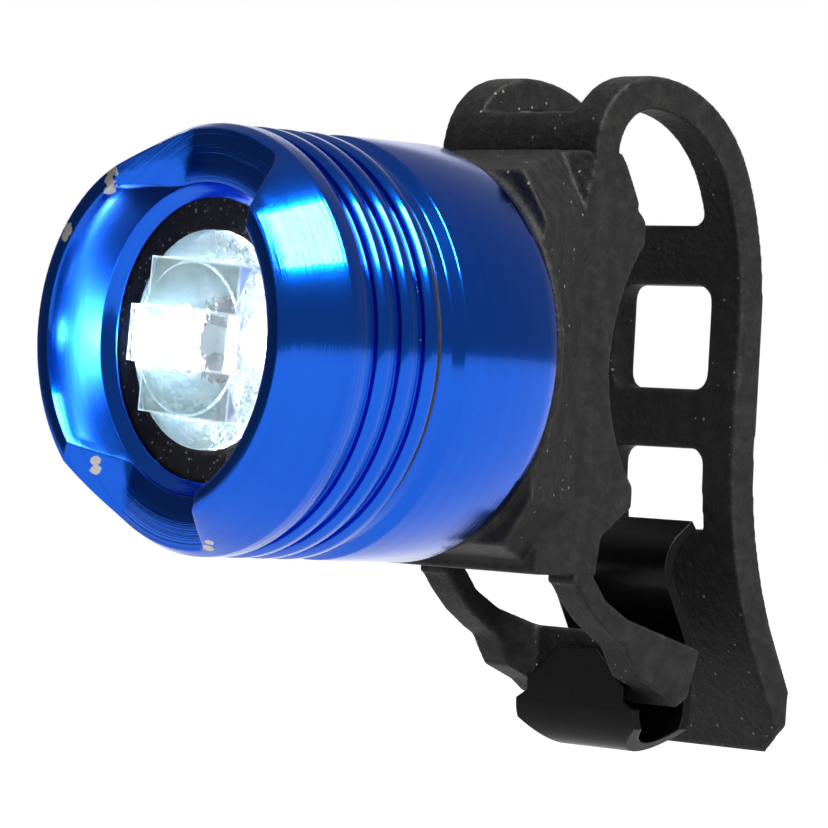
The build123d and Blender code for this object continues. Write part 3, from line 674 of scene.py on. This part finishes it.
def clear_lens():
    material, t, shader, bump = finish_tree("clear_lens")
    place = t.node("ShaderNodeTexCoord").outputs["Object"]
    flow = t.node("ShaderNodeTexNoise", Vector=place, Scale=420.0, Detail=3.0, Roughness=0.6)
    t.tree.links.new(t.mix(flow.outputs["Fac"], (0.80, 0.90, 1.0, 1), (0.97, 1.0, 0.99, 1)), shader.inputs["Base Color"])
    shader.inputs["Metallic"].default_value = 0.0
    shader.inputs["Transmission Weight"].default_value = 0.85
    shader.inputs["IOR"].default_value = 1.45
    # Painted glare: the lens itself glows strongly round a line near each of its ends, in place of the LEDs' light.
    painted_glare = t.math("POWER", near_leds(t, place, GLARE_X, 3.0), 5.0)
    haze = t.ramp(flow.outputs["Fac"], 0.40, 0.62)
    # Painted glint: this edge mask makes the lens's edges glow a little, and haze adds a faint painted glow over the
    # glass.
    rim = use(t, wear_group, Radius=0.00028, Patch_Scale=500.0, Amount=1.4)
    level = t.math("ADD", t.math("MULTIPLY", painted_glare, 80.0), t.math("MULTIPLY", haze, 0.02))
    level = t.math("ADD", level, t.math("MULTIPLY", rim.outputs["Mask"], 0.5))
    t.tree.links.new(t.mix(haze, (0.62, 0.78, 1.0, 1), (0.92, 1.0, 0.97, 1)), shader.inputs["Emission Color"])
    t.tree.links.new(level, shader.inputs["Emission Strength"])
    t.tree.links.new(t.math("ADD", 0.03, t.math("MULTIPLY", flow.outputs["Fac"], 0.08)), shader.inputs["Roughness"])
    t.tree.links.new(t.math("MULTIPLY", flow.outputs["Fac"], 0.00022), bump.inputs["Height"])
    return material


def glow():
    material, t, shader, bump = finish_tree("led_glow")
    place = t.node("ShaderNodeTexCoord").outputs["Object"]
    cloud = t.node("ShaderNodeTexNoise", Vector=place, Scale=500.0, Detail=4.0, Roughness=0.6)
    t.tree.links.new(t.mix(cloud.outputs["Fac"], (0.75, 0.88, 0.85, 1), (0.80, 0.86, 1.0, 1)), shader.inputs["Base Color"])
    t.tree.links.new(t.mix(cloud.outputs["Fac"], (0.90, 0.96, 1.0, 1), (1.0, 1.0, 1.0, 1)), shader.inputs["Emission Color"])
    shader.inputs["Emission Strength"].default_value = 2.5
    shader.inputs["Roughness"].default_value = 0.5
    t.tree.links.new(t.math("MULTIPLY", cloud.outputs["Fac"], 0.00003), bump.inputs["Height"])
    return material


def painted_lit_board():
    """Solder mask with the LEDs' light painted on: its colour and its own glow are nearly white round them and green
    further out.
    """
    material, t, shader, bump = finish_tree("painted_lit_board")
    place = t.node("ShaderNodeTexCoord").outputs["Object"]
    cloud = t.node("ShaderNodeTexNoise", Vector=place, Scale=600.0, Detail=4.0, Roughness=0.6)
    # Painted light: near is a painted pool of LED light in the board's colour and in its glow.
    near = near_leds(t, place, LED_X, 6.0)
    t.tree.links.new(t.mix(near, (0.08, 0.20, 0.14, 1), (0.34, 0.46, 0.56, 1)), shader.inputs["Base Color"])
    patch = t.node("ShaderNodeTexNoise", Vector=place, Scale=330.0, Detail=2.0)
    t.tree.links.new(t.mix(near, (0.30, 0.52, 0.55, 1), (0.50, 0.74, 1.0, 1)), shader.inputs["Emission Color"])
    t.tree.links.new(t.math("MULTIPLY", t.ramp(patch.outputs["Fac"], 0.30, 0.70), t.math("ADD", 0.06, t.math("MULTIPLY", near, 0.16))), shader.inputs["Emission Strength"])
    t.tree.links.new(t.math("ADD", 0.3, t.math("MULTIPLY", cloud.outputs["Fac"], 0.2)), shader.inputs["Roughness"])
    t.tree.links.new(t.math("MULTIPLY", cloud.outputs["Fac"], 0.00002), bump.inputs["Height"])
    return material


lens_finish = clear_lens()
glow_finish = glow()
lens_skin = eased(solid_copy("lens", "lens_skin"), 0.14, 3)
lens_skin.data.materials.append(lens_finish)
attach(lens_skin, "lens")
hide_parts("lens")
board_painted_light = painted_lit_board()
for node, finish in (("led_left", glow_finish), ("led_right", glow_finish), ("led_board", board_painted_light), ("board_carrier", board_painted_light)):
    for slot in frame["nodes"][node].material_slots:
        slot.material = finish

# %% [markdown]
# ## Camera, light and floor
# The camera was placed by fitting the head's rims in the photograph: a long lens from the
# front and the near side, a touch below the lamp's axis.

# %% Camera
def look_through():
    right = Vector((0.68110, 0.73025, 0.05327)).normalized()
    up = Vector((-0.03505, -0.04016, 0.99858)).normalized()
    back = right.cross(up)
    turn = Matrix((right, up, back)).transposed().to_4x4()
    lens = bpy.data.cameras.new("camera")
    lens.sensor_width = 36.0
    lens.lens = 218.29
    lens.clip_start = 0.01
    eye = bpy.data.objects.new("camera", lens)
    bpy.context.scene.collection.objects.link(eye)
    eye.matrix_world = Matrix.Translation((0.24576, -0.25344, -0.00463)) @ turn
    bpy.context.scene.camera = eye
    return eye


camera = look_through()


# %% Floor and light
def soft_box(name, spot, target, size, power, tall=None):
    light = bpy.data.lights.new(name, "AREA")
    light.shape = "RECTANGLE"
    light.size = size
    light.size_y = tall or size
    light.energy = power
    lamp = bpy.data.objects.new(name, light)
    bpy.context.scene.collection.objects.link(lamp)
    aim = (Vector(target) - Vector(spot)).to_track_quat("-Z", "Y")
    lamp.matrix_world = Matrix.Translation(spot) @ aim.to_matrix().to_4x4()
    return lamp


def floor_finish():
    material, t, shader, bump = finish_tree("floor_white")
    place = t.node("ShaderNodeTexCoord").outputs["Object"]
    cloud = t.node("ShaderNodeTexNoise", Vector=place, Scale=30.0)
    t.tree.links.new(t.mix(cloud.outputs["Fac"], (0.055, 0.055, 0.055, 1), (0.065, 0.065, 0.065, 1)), shader.inputs["Base Color"])
    shader.inputs["Roughness"].default_value = 0.9
    shader.inputs["Emission Color"].default_value = (1, 1, 1, 1)
    shader.inputs["Emission Strength"].default_value = 1.0
    return material


floor_mesh = bpy.data.meshes.new("floor")
floor_mesh.from_pydata([(-4, -0.2, -0.0285), (4, -0.2, -0.0285), (4, 4, -0.0285), (-4, 4, -0.0285)], [], [(0, 1, 2, 3)])
floor = bpy.data.objects.new("floor", floor_mesh)
bpy.context.scene.collection.objects.link(floor)
floor_mesh.materials.append(floor_finish())
floor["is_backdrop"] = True

soft_box("key", (0.3408, -0.0779, 0.4915), (0.0, -0.03, 0.0), 0.17, 9.5, 0.34)


def studio_sky():
    """Dark studio walls, but for a white wall behind the lamp that the camera also sees."""
    world = bpy.data.worlds.new("studio")
    bpy.context.scene.world = world
    world.use_nodes = True
    t = Tree(world.node_tree)
    ground = world.node_tree.nodes["Background"]
    place = t.node("ShaderNodeTexCoord").outputs["Generated"]
    parts = t.node("ShaderNodeSeparateXYZ", Vector=place)
    behind = t.math("ADD", t.math("MULTIPLY", parts.outputs[0], -0.731), t.math("MULTIPLY", parts.outputs[1], 0.682))
    wall = t.math("MULTIPLY", t.ramp(behind, 0.78, 0.94), t.ramp(parts.outputs[2], 0.50, 0.36))
    ahead = t.math("ADD", t.math("MULTIPLY", parts.outputs[0], -0.70), t.math("MULTIPLY", parts.outputs[1], -0.71))
    room = t.math("SUBTRACT", 0.30, t.math("MULTIPLY", t.ramp(ahead, 0.75, 0.95), 0.20))
    grey = t.math("ADD", room, t.math("MULTIPLY", wall, 0.7))
    shade = t.node("ShaderNodeCombineColor", Red=grey, Green=grey, Blue=grey)
    seen = t.node("ShaderNodeLightPath").outputs["Is Camera Ray"]
    t.tree.links.new(t.mix(seen, shade.outputs[0], (1, 1, 1, 1)), ground.inputs["Color"])
    return world


studio_sky()

# %% Sizes
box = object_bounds()


def plain(value):
    return [plain(part) for part in value] if hasattr(value, "__len__") else float(value)


{"cad": plain(cad_box), "visual": plain(box)}
print("cad box:", plain(cad_box), "visual box:", plain(box))

# %% Finish
bpy.context.scene.view_settings.view_transform = "Standard"
